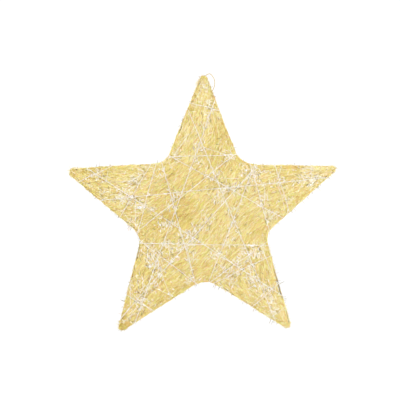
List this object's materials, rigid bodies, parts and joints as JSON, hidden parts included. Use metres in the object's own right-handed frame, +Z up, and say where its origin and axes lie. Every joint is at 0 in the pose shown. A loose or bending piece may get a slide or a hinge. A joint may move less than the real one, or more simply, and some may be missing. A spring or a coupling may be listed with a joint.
{
  "type": "star ornament",
  "caption": "Flat hanging star of gold plant fibre on a bent wire frame, wound with silver thread, with a thin loop at the top tip.",
  "frame": {"origin": "the bend of the frame wire at the top tip, where the star hangs", "axes": "+Z up through the top arm, front towards -Y, +X to the right seen from the front"},
  "size_m": [0.4004, 0.0243, 0.3865],
  "materials": {
    "dark_steel": "dull dark wire",
    "gold_fibre": "dyed plant fibre with a soft sheen",
    "silver_thread": "bright metallic thread",
    "gold_thread": "metallic gold thread"
  },
  "bodies": {
    "root": {"wire_frame": "dark_steel", "sisal_mat": "gold_fibre", "silver_thread": "silver_thread", "hanging_loop": "gold_thread"}
  },
  "joints": []
}
